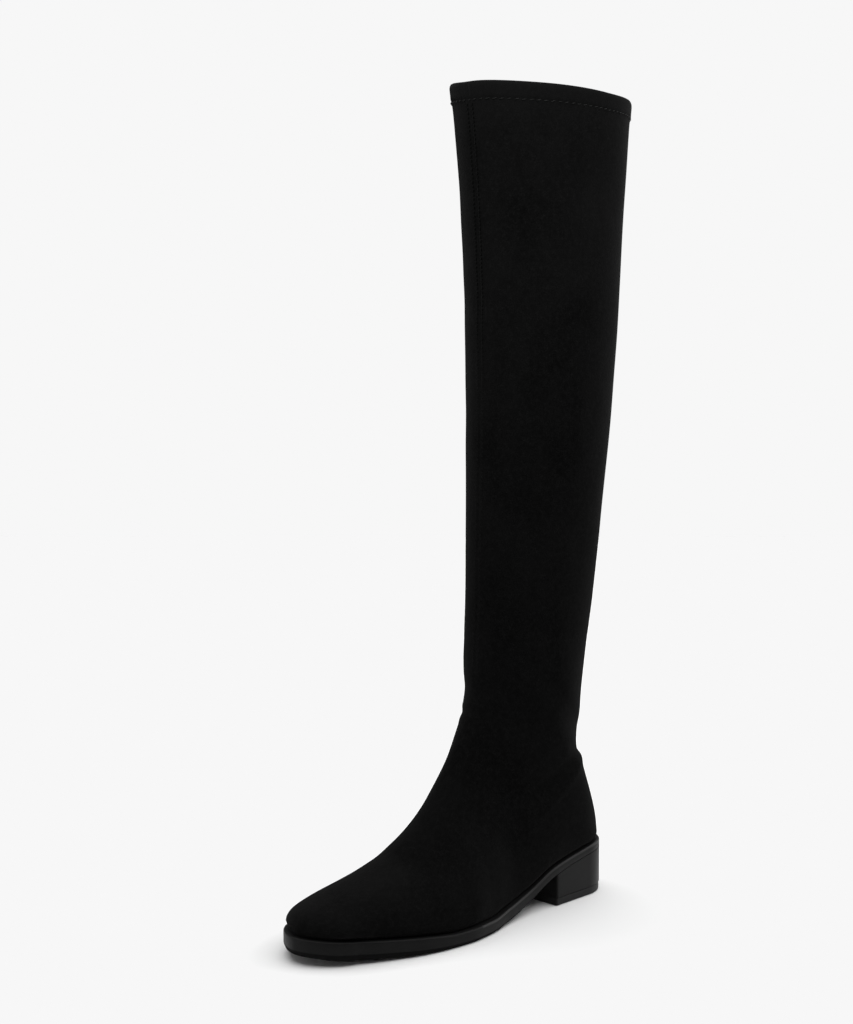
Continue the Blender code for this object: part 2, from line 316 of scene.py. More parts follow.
LEG_SECTIONS = [
    Leg(2.0, 47, 109.3, 153, 0.49, 33.8, 1.84),
    Leg(8.6, 58, 109.2, 156, 0.50, 33.6, 1.78),
    Leg(13.2, 70, 109.1, 160, 0.51, 33.3, 1.83),
    Leg(17.0, 80, 109.0, 163, 0.52, 33.0, 1.82),
    Leg(18.4, 88, 108.9, 167, 0.53, 32.8, 1.77),
    Leg(20.6, 96, 108.8, 171, 0.54, 32.7, 1.75),
    Leg(19.4, 105, 108.5, 178, 0.54, 32.7, 1.75),
    Leg(17.4, 116, 108.2, 184, 0.53, 33.2, 1.78),
    Leg(16.9, 127, 108.0, 189, 0.53, 33.5, 1.80),
    Leg(13.5, 158, 107.6, 204, 0.52, 34.0, 1.85),
    Leg(7.0, 203, 107.2, 226, 0.50, 35.5, 1.90),
    Leg(1.2, 255, 106.2, 262, 0.50, 37.5, 2.00),
    Leg(-5.2, 308, 105.2, 308, 0.50, 40.0, 2.00),
    Leg(-9.7, 358, 104.8, 358, 0.50, 42.3, 2.00),
    Leg(-12.8, 410, 105.5, 411, 0.50, 44.5, 2.00),
    Leg(-15.5, 460, 108.3, 463, 0.50, 46.5, 2.00),
    Leg(-18.6, 509, 113.0, 513, 0.50, 49.0, 2.00),
    Leg(-21.0, 533, 117.0, 538, 0.50, 50.5, 2.00),
]
Counter = namedtuple("Counter", "length height")
COUNTER_EDGE = [
    Counter(-5, 96),
    Counter(25, 97),
    Counter(45, 95),
    Counter(55, 86),
    Counter(67, 77),
    Counter(82, 67),
    Counter(97, 59),
    Counter(110, 42),
    Counter(125, 8),
]
# Soft troughs with a ridge on each flank. The way runs over the surface through the places given.
CREASE_STEP = 4.0
CREASE_SMOOTHING = 4
CREASE_POINTS = 12
CREASE_FINENESS = 4
CREASE_REACH = 4.0
CREASE_ENDS = 0.7
CREASE_FLANK = 0.5
CREASE_FLANK_AWAY = 2.0
Crease = namedtuple("Crease", "width depth way")
CREASES = [
    Crease(2.8, 0.7, [(58, 32, 108), (40, 27, 102), (20, 0, 98), (40, -27, 102), (56, -32, 107)]),
    Crease(4.8, 1.7, [(46, 31, 102), (54, 33, 95), (65, 32, 88), (78, 31, 82), (92, 29, 79), (108, 25, 80)]),
    Crease(4.8, 1.7, [(46, -31, 102), (56, -33, 94), (68, -32, 86), (82, -31, 81), (98, -29, 79)]),
    Crease(5.0, 0.15, [(56, 31, 131), (34, 22, 121), (19.5, 0, 116), (34, -22, 121)]),
    Crease(5.0, 0.5, [(84, 29, 141), (103, 16, 147), (109.5, -1, 149.5), (103, -18, 147), (86, -29, 141)]),
    Crease(2.4, 0.5, [(113, 9, 131), (116, -2, 133), (112, -14, 132), (100, -26, 127), (84, -31, 121)]),
    Crease(9.0, 0.4, [(100, 21, 143), (78, 32, 125), (52, 31, 110)]),
    Crease(9.0, 0.4, [(100, -23, 143), (78, -34, 124), (54, -33, 110)]),
    Crease(9.0, 0.6, [(104, 17, 166), (82, 32, 150), (56, 33, 138)]),
    Crease(9.0, 0.6, [(102, -19, 162), (80, -33, 148), (56, -33, 134)]),
    Crease(11.0, 0.5, [(30, 30, 176), (62, 35, 186), (92, 28, 196)]),
    Crease(11.0, 0.5, [(36, -31, 190), (66, -35, 184), (94, -27, 190)]),
    Crease(12.0, 0.5, [(100, 22, 300), (64, 39, 290), (24, 36, 298)]),
    Crease(12.0, 0.45, [(100, -24, 330), (60, -41, 322), (18, -34, 330)]),
    Crease(10.0, 0.5, [(96, 28, 398), (106, -1, 402), (94, -31, 399)]),
    Crease(13.0, 0.8, [(104, 22, 470), (64, 46, 476), (20, 40, 468)]),
    Crease(13.0, 0.8, [(102, 22, 388), (64, 42, 382), (24, 40, 388)]),
    Crease(13.0, 0.5, [(100, -28, 478), (56, -47, 470), (10, -36, 480)]),
    Crease(6.0, 0.3, [(172, 32, 32), (177, 12, 44), (176, -14, 45), (168, -32, 34)]),
]


def section_table():
    """Foot and leg sections as one array, from the toe to the collar."""
    rows = []
    for f in FOOT_SECTIONS:
        lateral, medial = outline(max(f.base, HEEL_ROUND), LEDGE)
        rows.append((f.base, float(seat(f.base)) + SEAT_GAP, f.ridge, f.ridge_height, f.ridge_shift,
                     f.widest, float(lateral) + f.lateral_swell, float(medial) + f.medial_swell,
                     LEG_ROUNDNESS, f.roundness))
    for g in LEG_SECTIONS:
        rows.append((g.back, g.back_height, g.front, g.front_height, LEG_SHIFT, g.widest,
                     g.half_width, g.half_width, g.back_roundness, LEG_ROUNDNESS))
    return np.array(rows)


def side_curve(base_width, widest, half_width, lower, upper):
    """One side of a section: share of the way from base to ridge, and distance from the middle plane."""
    start = acos(min(base_width / half_width, 1.0) ** (lower / 2))
    angle = np.linspace(-start, pi / 2, CURVE_POINTS)
    across, along = np.abs(np.cos(angle)), np.abs(np.sin(angle))
    below = angle < 0
    depth = along / sin(start) if start > 0 else along
    low_share = widest * (1 - depth ** (2 / lower))
    high_share = widest + (1 - widest) * along ** (2 / upper)
    share = np.where(below, low_share, high_share)
    width = half_width * np.where(below, across ** (2 / lower), across ** (2 / upper))
    return share, width


def travelled(points):
    """Distance along a line of points, from its first."""
    return np.concatenate([[0], np.cumsum(np.linalg.norm(np.diff(points, axis=0), axis=1))])


def crowded(points, count):
    """The same line with its points drawn together towards both ends, where base and seams lie."""
    run = travelled(points)
    even = np.linspace(0, 1, count)
    at = run[-1] * (even - CROWDING * np.sin(2 * pi * even) / (2 * pi))
    return np.stack([np.interp(at, run, points[:, k]) for k in range(3)], axis=1)


def upper_rows():
    """Rows of points of the outer face, each from outer base over ridge to inner base, and which close."""
    table = section_table()
    on_sole = len(FOOT_SECTIONS) - 1
    base_width = np.zeros(len(table))
    base_width[:on_sole] = outline(table[:on_sole, 0], LEDGE)[0]
    base_path = np.column_stack([table[:, :2], base_width])
    run = (travelled(base_path) + travelled(table[:, 2:4])) / 2
    collar = run[-1] - COLLAR_ZONE
    stops = np.concatenate([np.linspace(0, collar, round(collar / ROW_STEP), endpoint=False),
                            np.linspace(collar, run[-1], round(COLLAR_ZONE / COLLAR_ROW_STEP))])
    rows = []
    for stop in stops:
        base, base_height, ridge, ridge_height, shift, widest, lateral, medial, lower, upper = (
            float(curve(run, column, stop)) for column in table.T)
        base_widths = (0.0, 0.0)
        if stop < run[on_sole]:
            base_height = float(seat(base)) + SEAT_GAP
            base_widths = outline(base, LEDGE)
        sides = []
        for sign, half_width, base_width in ((1, lateral, base_widths[0]), (-1, medial, base_widths[1])):
            share, width = side_curve(float(base_width), widest, half_width, lower, upper)
            side = np.column_stack([base + (ridge - base) * share,
                                    sign * width + shift * share,
                                    base_height + (ridge_height - base_height) * share])
            sides.append(crowded(side, SIDE_POINTS + 1))
        rows.append(np.vstack([sides[0], sides[1][::-1][1:]]))
    return np.array(rows), stops >= run[on_sole]


def outward(rows, closed):
    """Unit normals of the outer face, the same on both sides of the line where closed rows meet."""
    along = np.gradient(rows, axis=0)
    around = np.gradient(rows, axis=1)
    meeting = rows[closed, 1] - rows[closed, -2]
    around[closed, 0] = meeting
    around[closed, -1] = meeting
    normal = np.cross(along, around)
    normal /= np.linalg.norm(normal, axis=2, keepdims=True)
    both = normal[closed, 0] + normal[closed, -1]
    both /= np.linalg.norm(both, axis=1, keepdims=True)
    normal[closed, 0] = both
    normal[closed, -1] = both
    return normal


def bump(distance, width):
    """Soft round bump of height one."""
    return np.exp(-(distance / width) ** 2)


def step(value):
    """Smooth step from nothing at zero to one at one."""
    t = np.clip(value, 0, 1)
    return t * t * (3 - 2 * t)


def evenly(way, apart):
    """Points at even distances along a way."""
    run = travelled(way)
    at = np.linspace(0, run[-1], max(CREASE_POINTS, round(run[-1] / apart)))
    return np.stack([np.interp(at, run, way[:, k]) for k in range(3)], axis=1)


def crease_relief(rows, crease):
    """Depth of one crease at every point of the rows."""
    line = evenly(np.array(crease.way, dtype=float), CREASE_STEP)
    flat = rows.reshape(-1, 3)
    for i, point in enumerate(line):
        line[i] = flat[np.argmin(((flat - point) ** 2).sum(axis=1))]
    for _ in range(CREASE_SMOOTHING):
        line[1:-1] = (line[:-2] + 2 * line[1:-1] + line[2:]) / 4
    line = evenly(line, crease.width / CREASE_FINENESS)
    reach = CREASE_REACH * crease.width
    relief = np.zeros(len(flat))
    inside = (flat > line.min(axis=0) - reach) & (flat < line.max(axis=0) + reach)
    near = np.where(inside.all(axis=1))[0]
    apart = np.linalg.norm(flat[near, None, :] - line[None, :, :], axis=2)
    nearest = apart.argmin(axis=1)
    away = apart.min(axis=1)
    fade = np.sin(pi * (nearest + 0.5) / len(line)) ** CREASE_ENDS
    flank = CREASE_FLANK * bump(away - CREASE_FLANK_AWAY * crease.width, crease.width)
    relief[near] = crease.depth * fade * (flank - bump(away, crease.width))
    return relief.reshape(rows.shape[:2])


face, closed = upper_rows()

# Leg and foot run into each other: the cloth rounds off the line where their sections meet, except at the
# sole, the back and the bend in front, which keep the last's outline
EASED_ROWS = 12
EASED_OFF_BASE = 46.0
EASED_OFF_RIDGE = 24.0
EASING = 80
ridge = SIDE_POINTS
round_row = np.array([travelled(row) for row in face])
from_ridge = np.abs(round_row - round_row[:, ridge:ridge + 1])
from_base = np.minimum(round_row, round_row[:, -1:] - round_row)
from_meeting = np.arange(len(face)) - np.argmax(closed)
eased = bump(from_meeting, EASED_ROWS)[:, None] * step(from_base / EASED_OFF_BASE)
eased = eased * step(from_ridge / EASED_OFF_RIDGE)
for _ in range(EASING):
    between = (face[:-2] + face[2:]) / 2
    face[1:-1] += eased[1:-1, :, None] * (between - face[1:-1]) / 2
normal = outward(face, closed)

# Counter: it pushes the wall out level, and its edge shows as a soft ridge
COUNTER_STEP = 1.2
COUNTER_FADE = 5.0
COUNTER_END = 112.0
COUNTER_TAPER = 40.0
COUNTER_RIDGE = 0.65
COUNTER_RIDGE_WIDTH = 2.8
edge_height = curve([c.length for c in COUNTER_EDGE], [c.height for c in COUNTER_EDGE],
                    np.clip(face[:, :, 0], COUNTER_EDGE[0].length, COUNTER_EDGE[-1].length))
below_edge = edge_height - face[:, :, 2]
on_heel = step((COUNTER_END - face[:, :, 0]) / COUNTER_TAPER)
push = COUNTER_STEP * step(below_edge / COUNTER_FADE + 0.5)
push += COUNTER_RIDGE * bump(below_edge - COUNTER_FADE / 2, COUNTER_RIDGE_WIDTH)
push *= on_heel
level = normal * (1, 1, 0)
face = face + level * push[:, :, None]
normal = outward(face, closed)

# Creases, the slack of soft cloth, and the tuck where the upper turns under to the sole
SLACK = 0.35
SLACK_SIZE = 46.0
SLACK_FROM = 60.0
SLACK_OVER = 60.0
TUCK_DEPTH = 1.9
TUCK_HEIGHT = 2.8
TUCK_REACH = 4 * TUCK_HEIGHT
relief = sum(crease_relief(face, c) for c in CREASES)
slack = [noise.noise(Vector(p) / SLACK_SIZE) for p in face.reshape(-1, 3)]
relief += SLACK * np.array(slack).reshape(relief.shape) * step((face[:, :, 2] - SLACK_FROM) / SLACK_OVER)
above_seat = face[:, :, 2] - seat(np.clip(face[:, :, 0], 0, SOLE_LENGTH))
relief -= TUCK_DEPTH * bump(above_seat, TUCK_HEIGHT) * (above_seat < TUCK_REACH)

# The lining spans the creases: it keeps as far in as the deepest place between two of its own rows
LINING_STRIDE = 4
deepest = relief.copy()
for apart in range(1, LINING_STRIDE + 1):
    deepest[apart:] = np.minimum(deepest[apart:], relief[:-apart])
    deepest[:-apart] = np.minimum(deepest[:-apart], relief[apart:])
lining_face = face + normal * (deepest - WALL)[:, :, None]
face = face + normal * relief[:, :, None]

# The collar is cut a little lower on the outer side and higher on the inner one
COLLAR_HALF = 40.0
COLLAR_CUT_REACH = 70.0
INNER_RISE = 3.4
OUTER_DIP = 1.3
across_collar = face[:, :, 1] / COLLAR_HALF
forward_part = step(face[:, :, 0] / COLLAR_HALF)
collar_cut = INNER_RISE * step(-across_collar) - OUTER_DIP * step(across_collar) * forward_part
near_collar = step((face[:, :, 2] - face[:, :, 2].max() + COLLAR_CUT_REACH) / COLLAR_CUT_REACH)
for layer in (face, lining_face):
    layer[:, :, 2] += collar_cut * near_collar

# Seams down front and back: a groove between two folded edges, which stand up a little on both sides. Lower
# down, where the leg is narrow, the front seam is pulled flat.
SEAM_GROOVE = 0.55
SEAM_GROOVE_WIDTH = 0.8
SEAM_BULK = 0.3
SEAM_ROW = 2.2
FRONT_SEAM_END = 152.0
BACK_SEAM_END = 96.0
SEAM_FADE = 8.0
SEAM_LOW = 0.35
SEAM_SLACK_FROM = 310.0
SEAM_SLACK_OVER = 110.0
round_row = np.array([travelled(row) for row in face])
from_front = np.abs(round_row - round_row[:, ridge:ridge + 1])
from_back = np.minimum(round_row, round_row[:, -1:] - round_row)
pulled_flat = SEAM_LOW + (1 - SEAM_LOW) * step((face[:, ridge, 2] - SEAM_SLACK_FROM) / SEAM_SLACK_OVER)
front_seam = (step((face[:, ridge, 2] - FRONT_SEAM_END) / SEAM_FADE) * pulled_flat)[:, None]
back_seam = (step((face[:, 0, 2] - BACK_SEAM_END) / SEAM_FADE) * closed)[:, None]
seams = np.zeros(relief.shape)
for away, strength in ((from_front, front_seam), (from_back, back_seam)):
    folded_edges = SEAM_BULK * bump(away - SEAM_ROW, SEAM_ROW / 2)
    seams += strength * (folded_edges - SEAM_GROOVE * bump(away, SEAM_GROOVE_WIDTH))

# Hem: the cloth is double, drawn in along the stitches and puckered between them
HEM = 12.0
HEM_FOLD = 0.55
HEM_TURN = 1.6
HEM_STITCH_LINE = 11.0
HEM_PULL_WIDTH = 1.0
HEM_PUCKER = 0.18
HEM_PUCKER_WIDTH = 2.4
STITCH_PITCH = 4.8
below_collar = np.cumsum(np.linalg.norm(np.diff(face, axis=0), axis=2)[::-1], axis=0)[::-1]
below_collar = np.vstack([below_collar, np.zeros((1, below_collar.shape[1]))])
hem = HEM_FOLD * step((HEM - below_collar) / HEM_TURN + 0.5)
hem_stitches = round(round_row[-1, -1] / STITCH_PITCH)
stitch_phase = np.cos(2 * pi * hem_stitches * round_row / round_row[:, -1:])
drawn_in = bump(below_collar - HEM_STITCH_LINE, HEM_PULL_WIDTH)
puckers = -HEM_PUCKER * stitch_phase * bump(below_collar - HEM_STITCH_LINE, HEM_PUCKER_WIDTH)
face = face + normal * (seams + hem - HEM_FOLD * drawn_in + puckers)[:, :, None]

# The collar's lip: the fold turns over in a half round and comes down inside
LIP_HEIGHT = 3.2
LIP_STEPS = 7
LIP_ROWS_DOWN = 4
lip = (WALL + 2 * HEM_FOLD) / 2
upward = face[-1] - face[-LIP_ROWS_DOWN]
upward /= np.linalg.norm(upward, axis=1, keepdims=True)
kept = below_collar.mean(axis=1) > LIP_HEIGHT + COLLAR_ROW_STEP / 2
top = face[-1] - upward * LIP_HEIGHT
lip_rows = [top + normal[-1] * lip * (cos(a) - 1) + upward * LIP_HEIGHT * sin(a)
            for a in np.linspace(0, pi, LIP_STEPS + 2)]
lining_face = lining_face - normal * hem[:, :, None]
in_hem = kept & (below_collar.mean(axis=1) < COLLAR_ZONE)
strided = kept & ~in_hem & (np.arange(len(kept)) % LINING_STRIDE == 0)
inner_rows = lining_face[in_hem | strided][::-1]
first_lining = int(kept.sum()) + len(lip_rows) + int((in_hem & (below_collar.mean(axis=1) < HEM)).sum())

shell = bmesh.new()
skin = grid_over(shell, [*face[kept], *lip_rows, *inner_rows])
across = face.shape[1]
shell.verts.index_update()
for panel in shell.faces:
    panel.material_index = int(min(v.index for v in panel.verts) // across >= first_lining)
bmesh.ops.remove_doubles(shell, verts=skin, dist=MERGE * MM)
bmesh.ops.bridge_loops(shell, edges=[e for e in shell.edges if e.is_boundary])
bmesh.ops.recalc_face_normals(shell, faces=shell.faces)

# Microsuede: polyester microfibre, brushed to a short dense nap. It swallows light from the front and lights
# up along its outlines, and hands leave broad patches, longer up the leg, where the nap lies one way or the
# other. Its fibres are far finer than a millimetre and are drawn at the size below to show as grain.
NAP_GRAIN = 0.9
NAP_TIPS = (0.35, 0.8)
NAP_MOTTLE = 3.2
NAP_BLOTCH = (0.3, 0.7)
NAP_PATCH = 40.0
NAP_LAID = (0.32, 0.68)
PATCH_STRETCH = (1.0, 1.0, 0.55)
NAP_DEPTH = 0.22
# The band under the collar is painted lighter: a painted highlight for the light from above that falls on it
HEM_LIT_LOW = 505.0
HEM_LIT_HIGH = 538.0
HEM_PAINTED_LIGHT = 0.6
SUEDE_HEM_LIT = "#161616"
SUEDE_DARK = "#080808"
SUEDE_MID = "#0e0e0e"
SUEDE_LIGHT = "#171717"
suede, tree, shader = start_material("Brushed_microsuede")
place = add_node(tree, "ShaderNodeTexCoord", {})["Object"]
grain = add_node(tree, "ShaderNodeTexNoise", {"Vector": place, "Scale": per_mm(NAP_GRAIN), "Detail": 3.0,
                                              "Roughness": 0.65})["Fac"]
mottle = add_node(tree, "ShaderNodeTexNoise", {"Vector": place, "Scale": per_mm(NAP_MOTTLE), "Detail": 4.0,
                                               "Roughness": 0.6})["Fac"]
brushed = add_node(tree, "ShaderNodeMapping", {"Vector": place, "Scale": PATCH_STRETCH})["Vector"]
patch = add_node(tree, "ShaderNodeTexNoise", {"Vector": brushed, "Scale": per_mm(NAP_PATCH), "Detail": 3.0,
                                              "Roughness": 0.55})["Fac"]
nap_ranges = ((patch, NAP_LAID), (grain, NAP_TIPS), (mottle, NAP_BLOTCH))
laid, speckle, blotch = (add_node(tree, "ShaderNodeMapRange", {"Value": fac, "From Min": low,
                                                               "From Max": high})["Result"]
                         for fac, (low, high) in nap_ranges)
ground = add_node(tree, "ShaderNodeMixRGB", {"Fac": laid, "Color1": linear(SUEDE_DARK),
                                             "Color2": linear(SUEDE_MID)})["Color"]
tips = add_node(tree, "ShaderNodeMath", {0: speckle, 1: blotch}, operation="MULTIPLY")["Value"]
ruffled = add_node(tree, "ShaderNodeMixRGB", {"Fac": tips, "Color1": ground,
                                              "Color2": linear(SUEDE_LIGHT)})["Color"]
above_floor = add_node(tree, "ShaderNodeSeparateXYZ", {"Vector": place})["Z"]
# Painted highlight: the suede's colour turns lighter towards the collar, by height above the floor
painted_hem_light = add_node(tree, "ShaderNodeMapRange", {"Value": above_floor, "From Min": HEM_LIT_LOW * MM,
                                               "From Max": HEM_LIT_HIGH * MM,
                                               "To Max": HEM_PAINTED_LIGHT})["Result"]
nap_and_hem_light = add_node(tree, "ShaderNodeMixRGB", {"Fac": painted_hem_light, "Color1": ruffled,
                                                 "Color2": linear(SUEDE_HEM_LIT)})["Color"]
pile = add_node(tree, "ShaderNodeMath", {0: grain, 1: mottle}, operation="ADD")["Value"]
nap_bump = add_node(tree, "ShaderNodeBump", {"Height": pile, "Distance": NAP_DEPTH * MM,
                                             "Strength": 0.7})["Normal"]
feed(tree, shader, {"Base Color": nap_and_hem_light, "Normal": nap_bump, "Roughness": 1.0,
                    "Specular IOR Level": 0.0, "Sheen Weight": 0.025, "Sheen Roughness": 0.4})

# Lining: black warp knit of polyester, dull, with its wales as fine ribs
WALE = 1.2
WALE_RELIEF = 0.12
LINING_DARK = "#121212"
LINING_LIGHT = "#242423"
lining, tree, shader = start_material("Warp_knit_lining")
place = add_node(tree, "ShaderNodeTexCoord", {})["Object"]
wales = add_node(tree, "ShaderNodeTexWave", {"Vector": place, "Scale": waves_per_mm(WALE),
                                             "Distortion": 0.6}, bands_direction="DIAGONAL")["Fac"]
ribs = add_node(tree, "ShaderNodeMixRGB", {"Fac": wales, "Color1": linear(LINING_DARK),
                                           "Color2": linear(LINING_LIGHT)})["Color"]
rib_bump = add_node(tree, "ShaderNodeBump", {"Height": wales, "Distance": WALE_RELIEF * MM,
                                             "Strength": 0.5})["Normal"]
feed(tree, shader, {"Base Color": ribs, "Normal": rib_bump, "Roughness": 0.95, "Specular IOR Level": 0.1,
                    "Sheen Weight": 0.05, "Sheen Roughness": 0.5})
finish_piece("suede_upper", shell, [suede, lining], "upper")

# Stitching
# Black polyester thread: one row round the hem, and a row on each side of the front and back seams. Each
# stitch lies on the suede between two needle holes and leans a little, as a lockstitch does.
THREAD = 0.85
HEM_STITCH = 3.4
HEM_LEAN = radians(14)
SEAM_PITCH = 2.7
SEAM_STITCH = 1.9
SEAM_LEAN = radians(6)
SINK = 0.12
SINK_LOW = 0.45
THREAD_SIDES = 6
THREAD_RINGS = 5
THREAD_DARK = "#101010"
THREAD_PLY_HIGHLIGHT = "#1c1c1c"
SEAM_THREAD_SHADE = "#060606"
SEAM_NAP = "#111111"
TWIST = 0.5
TWIST_RELIEF = 0.08

# Hem thread: smooth filament. The light bands along its twisted plies are painted highlight, so that it
# shows lighter than the nap round them.
thread, tree, shader = start_material("Twisted_polyester_thread")
place = add_node(tree, "ShaderNodeTexCoord", {})["Object"]
twist = add_node(tree, "ShaderNodeTexWave", {"Vector": place, "Scale": waves_per_mm(TWIST)},
                 bands_direction="DIAGONAL")["Fac"]
# Painted highlight along the twist of the plies
ply_highlights = add_node(tree, "ShaderNodeMixRGB", {"Fac": twist, "Color1": linear(THREAD_DARK),
                                            "Color2": linear(THREAD_PLY_HIGHLIGHT)})["Color"]
ply_bump = add_node(tree, "ShaderNodeBump", {"Height": twist, "Distance": TWIST_RELIEF * MM,
                                             "Strength": 0.5})["Normal"]
feed(tree, shader, {"Base Color": ply_highlights, "Normal": ply_bump, "Roughness": 0.6, "Specular IOR Level": 0.08})

# Seam thread: the same, drawn deep into the nap. Its colour is painted darker than the suede, as
# painted shade of the groove that it lies in. Further down, where the leg is narrow, nap lies over it.
seam_thread_shaded, tree, shader = start_material("Sunk_seam_thread_painted_shade")
place = add_node(tree, "ShaderNodeTexCoord", {})["Object"]
above_floor = add_node(tree, "ShaderNodeSeparateXYZ", {"Vector": place})["Z"]
seam_tight = SEAM_SLACK_FROM + SEAM_SLACK_OVER
# Painted shade: higher up, the thread takes the dark colour of the groove's shade
painted_groove_shade = add_node(tree, "ShaderNodeMapRange", {"Value": above_floor, "From Min": SEAM_SLACK_FROM * MM,
                                              "From Max": seam_tight * MM})["Result"]
seam_thread_and_shade = add_node(tree, "ShaderNodeMixRGB", {"Fac": painted_groove_shade, "Color1": linear(SEAM_NAP),
                                                  "Color2": linear(SEAM_THREAD_SHADE)})["Color"]
feed(tree, shader, {"Base Color": seam_thread_and_shade, "Roughness": 0.9, "Specular IOR Level": 0.02})


def sew(bm, line, facing, count, length, lean):
    """A row of stitches along a line on the suede, with the way that the suede faces at each point."""
    run = travelled(line)
    at = (np.arange(count) + 0.5) * run[-1] / count
    for here in at:
        point, before, after, out = (np.array([np.interp(w, run, a[:, k]) for k in range(3)])
                                     for w, a in ((here, line), (here - length / 2, line),
                                                  (here + length / 2, line), (here, facing)))
        out = Vector(out).normalized()
        forward = Vector(after - before)
        forward = (forward - out * forward.dot(out)).normalized()
        forward.rotate(Matrix.Rotation(lean, 3, out))
        aside = out.cross(forward)
        sunk = SINK + SINK_LOW * (1 - step((point[2] - SEAM_SLACK_FROM) / SEAM_SLACK_OVER))
        middle = Vector(in_frame(point)) + out * (THREAD / 2 - sunk) * MM
        turned = Matrix((forward * length / 2, aside * THREAD / 2, out * THREAD / 2)).transposed() * MM
        bmesh.ops.create_uvsphere(bm, u_segments=THREAD_SIDES, v_segments=THREAD_RINGS, radius=1,
                                  matrix=Matrix.Translation(middle) @ turned.to_4x4())


def beside_seam(rows, column, aside):
    """Line that keeps a distance from a column of the upper, and the way the suede faces along it."""
    line, facing = [], []
    for i in rows:
        at = round_row[i, column] + aside
        line.append([np.interp(at, round_row[i], face[i, :, k]) for k in range(3)])
        facing.append([np.interp(at, round_row[i], normal[i, :, k]) for k in range(3)])
    return np.array(line), np.array(facing)


hem_row = int(np.argmin(np.abs(below_collar.mean(axis=1) - HEM_STITCH_LINE)))
hem_thread = bmesh.new()
sew(hem_thread, face[hem_row], normal[hem_row], hem_stitches, HEM_STITCH, HEM_LEAN)
finish_piece("hem_stitching", hem_thread, [thread])

below_hem = below_collar.mean(axis=1) > HEM + THREAD
front_rows = np.where(below_hem & (face[:, ridge, 2] > FRONT_SEAM_END))[0]
back_rows = np.where(below_hem & closed & (face[:, 0, 2] > BACK_SEAM_END))[0]
seam_thread = bmesh.new()
for rows, column, aside in ((front_rows, ridge, SEAM_ROW), (front_rows, ridge, -SEAM_ROW),
                            (back_rows, 0, SEAM_ROW), (back_rows, -1, -SEAM_ROW)):
    line, facing = beside_seam(rows, column, aside)
    sew(seam_thread, line, facing, round(travelled(line)[-1] / SEAM_PITCH), SEAM_STITCH, SEAM_LEAN)
finish_piece("seam_stitching", seam_thread, [seam_thread_shaded])

# Outsole
# A unit sole of black rubber, moulded in one with its toe spring, raised waist and the thin rand over the
# heel, and cemented on. Its side is satin, its top edge is buffed, and its flank turns in to the tread.
SOLE_EDGE = 1.4
BUFFED_LENGTH = 150.0
FLANK_EDGE = 0.4
FLANK_TURN = 0.15
FLANK_INSET = 1.4
Flank = namedtuple("Flank", "length height")
FLANK = [
    Flank(0, 0.0),
    Flank(64, 0.0),
    Flank(84, 1.6),
    Flank(134, 1.6),
    Flank(168, 1.8),
    Flank(192, 2.4),
    Flank(222, 3.2),
    Flank(246, 3.6),
    Flank(265.5, 2.4),
]
SOLE_DARK = "#0f0f0f"
SOLE_LIGHT = "#161616"
BUFFED = "#151515"
TREAD_SHADE = "#0e0e0e"
MOULD_GRAIN = 0.8
MOULD_RELIEF = 0.06
BLOOM = 14.0
WHEEL_MARK = 2.0


def underside(length):
    """Height of the outsole's lower face."""
    return curve([p.length for p in SOLE_PROFILE], [p.underside for p in SOLE_PROFILE], length)


def side_foot(length):
    """Height at which the sole's upright side ends and its lower flank turns in to the tread."""
    return underside(length) + np.interp(length, [f.length for f in FLANK], [f.height for f in FLANK])


# Sole rubber: black, with the fine grain of the mould, a satin gloss and a faint bloom in broad patches
sole_rubber, tree, shader = start_material("Moulded_sole_rubber")
place = add_node(tree, "ShaderNodeTexCoord", {})["Object"]
skin_grain = add_node(tree, "ShaderNodeTexNoise", {"Vector": place, "Scale": per_mm(MOULD_GRAIN),
                                                   "Detail": 3.0, "Roughness": 0.6})["Fac"]
bloom = add_node(tree, "ShaderNodeTexNoise", {"Vector": place, "Scale": per_mm(BLOOM), "Detail": 4.0})["Fac"]
rubber_colour = add_node(tree, "ShaderNodeMixRGB", {"Fac": bloom, "Color1": linear(SOLE_DARK),
                                                    "Color2": linear(SOLE_LIGHT)})["Color"]
satin = add_node(tree, "ShaderNodeMapRange", {"Value": skin_grain, "To Min": 0.38,
                                              "To Max": 0.56})["Result"]
mould_bump = add_node(tree, "ShaderNodeBump", {"Height": skin_grain, "Distance": MOULD_RELIEF * MM,
                                               "Strength": 0.5})["Normal"]
feed(tree, shader, {"Base Color": rubber_colour, "Normal": mould_bump, "Roughness": satin, "IOR": 1.5,
                    "Specular IOR Level": 0.08})

# The buffed edge: the same rubber, polished by the wheel that trims it
buffed_edge, tree, shader = start_material("Buffed_sole_edge")
place = add_node(tree, "ShaderNodeTexCoord", {})["Object"]
wheel = add_node(tree, "ShaderNodeTexNoise", {"Vector": place, "Scale": per_mm(WHEEL_MARK),
                                              "Detail": 3.0})["Fac"]
polish = add_node(tree, "ShaderNodeMapRange", {"Value": wheel, "To Min": 0.3, "To Max": 0.45})["Result"]
feed(tree, shader, {"Base Color": linear(BUFFED), "Roughness": polish, "IOR": 1.5,
                    "Specular IOR Level": 0.18})

# The tread and its flank: the same rubber, left dull by the mould. Its colour is a touch darker, as painted
# shade where the sole's edge turns in towards the floor.
tread_rubber_shaded, tree, shader = start_material("Dull_tread_rubber_painted_shade")
feed(tree, shader, {"Base Color": linear(TREAD_SHADE), "Roughness": 0.85, "IOR": 1.5,
                    "Specular IOR Level": 0.05})


def flank(share):
    """Face at a share of the way down the flank, from the foot of the side to the tread."""
    return sole_face(SOLE_LENGTH, share * FLANK_INSET,
                     lambda u: (1 - share) * side_foot(u) + share * underside(u))


